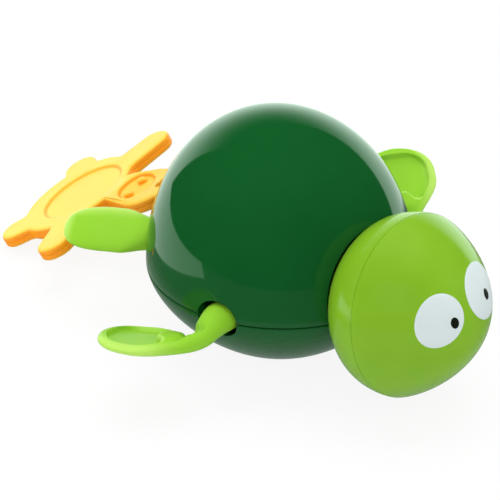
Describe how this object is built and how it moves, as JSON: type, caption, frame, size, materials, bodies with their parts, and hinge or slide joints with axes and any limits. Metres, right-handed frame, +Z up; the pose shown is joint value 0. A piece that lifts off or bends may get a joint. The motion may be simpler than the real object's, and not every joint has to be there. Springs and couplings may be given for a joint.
{
  "type": "pull-cord swimming turtle bath toy",
  "caption": "Wind-up turtle bath toy: glossy dark green shell, pale green head and flippers, and a yellow turtle tag on a pull cord that drives the front flippers.",
  "frame": {"origin": "middle of the flat belly face that the toy stands on", "axes": "+X towards the head, +Y towards the toy's left side, +Z up from the belly to the top of the shell"},
  "size_m": [0.189, 0.139, 0.075],
  "materials": {
    "shell": "high-gloss injection-moulded plastic, dark green",
    "head": "gloss moulded plastic, leaf green",
    "flipper": "satin moulded plastic, light green",
    "tag": "soft satin plastic, warm yellow",
    "eye": "smooth white plastic",
    "pupil": "smooth black plastic",
    "cord": "braided nylon cord",
    "gear": "natural acetal",
    "gearbox": "grey moulded plastic",
    "steel": "stainless steel",
    "bush": "turned brass"
  },
  "bodies": {
    "shell": {"upper_shell": "shell", "lower_shell": "shell", "cord_bushing": "tag", "pull_cord": "cord", "gearbox_left": "gearbox", "gearbox_right": "gearbox", "idler_shaft": "steel", "axle_bush_left": "bush", "axle_bush_right": "bush", "spring_barrel": "gearbox", "mainspring": "steel", "shell_screw_front_left": "steel", "shell_screw_front_right": "steel", "shell_screw_rear_left": "steel", "shell_screw_rear_right": "steel", "gearbox_screw_front_left": "steel", "gearbox_screw_front_right": "steel", "gearbox_screw_rear_left": "steel", "gearbox_screw_rear_right": "steel"},
    "head": {"head_face": "head", "head_back": "head", "eye_white_left": "eye", "eye_white_right": "eye", "pupil_left": "pupil", "pupil_right": "pupil"},
    "flipper_axle": {"front_axle": "steel", "axle_pinion": "gear", "front_flipper_left": "flipper", "front_flipper_right": "flipper"},
    "idler": {"idler_gear": "gear"},
    "clutch": {"clutch_gear": "gear", "clutch_pawl": "steel"},
    "drum": {"cord_drum": "gear", "drum_shaft": "steel", "cord_winding": "cord"},
    "tag": {"pull_tag": "tag", "cord_loop": "cord"},
    "rear_left": {"rear_flipper_left": "flipper"},
    "rear_right": {"rear_flipper_right": "flipper"}
  },
  "joints": [
    {"name": "head_turn", "type": "hinge", "parent": "shell", "child": "head", "pos_m": [0.0534, 0, 0.03345], "axis": [0.9799, 0, 0.1994], "continuous": true},
    {"name": "axle_spin", "type": "hinge", "parent": "shell", "child": "flipper_axle", "pos_m": [0.012, 0, 0.0275], "axis": [0, 1, 0], "continuous": true},
    {"name": "idler_spin", "type": "hinge", "parent": "shell", "child": "idler", "pos_m": [-0.00057, 0, 0.0327], "axis": [0, 1, 0], "continuous": true},
    {"name": "clutch_spin", "type": "hinge", "parent": "shell", "child": "clutch", "pos_m": [-0.014, 0, 0.024], "axis": [0, 1, 0], "continuous": true},
    {"name": "tag_pull", "type": "slide", "parent": "shell", "child": "tag", "axis": [-1, 0, 0], "range_m": [0, 0.25], "stiffness_N_per_m": 4, "springref_m": -0.3, "deforming": ["pull_cord"]},
    {"name": "drum_spin", "type": "hinge", "parent": "shell", "child": "drum", "pos_m": [-0.014, 0, 0.024], "axis": [0, 1, 0], "range_deg": [-1800, 5]},
    {"name": "rear_left_twist", "type": "hinge", "parent": "shell", "child": "rear_left", "pos_m": [-0.03685, 0.01784, 0.0275], "axis": [-0.8202, 0.5721, 0], "range_deg": [-35, 35]},
    {"name": "rear_right_twist", "type": "hinge", "parent": "shell", "child": "rear_right", "pos_m": [-0.03685, -0.01784, 0.0275], "axis": [-0.8202, -0.5721, 0], "range_deg": [-35, 35]}
  ],
  "couplings": [
    {"joint": "idler_spin", "follows": "axle_spin", "ratio": -0.41667},
    {"joint": "clutch_spin", "follows": "axle_spin", "ratio": 0.13889},
    {"joint": "drum_spin", "follows": "tag_pull", "rad_per_m": -125}
  ]
}
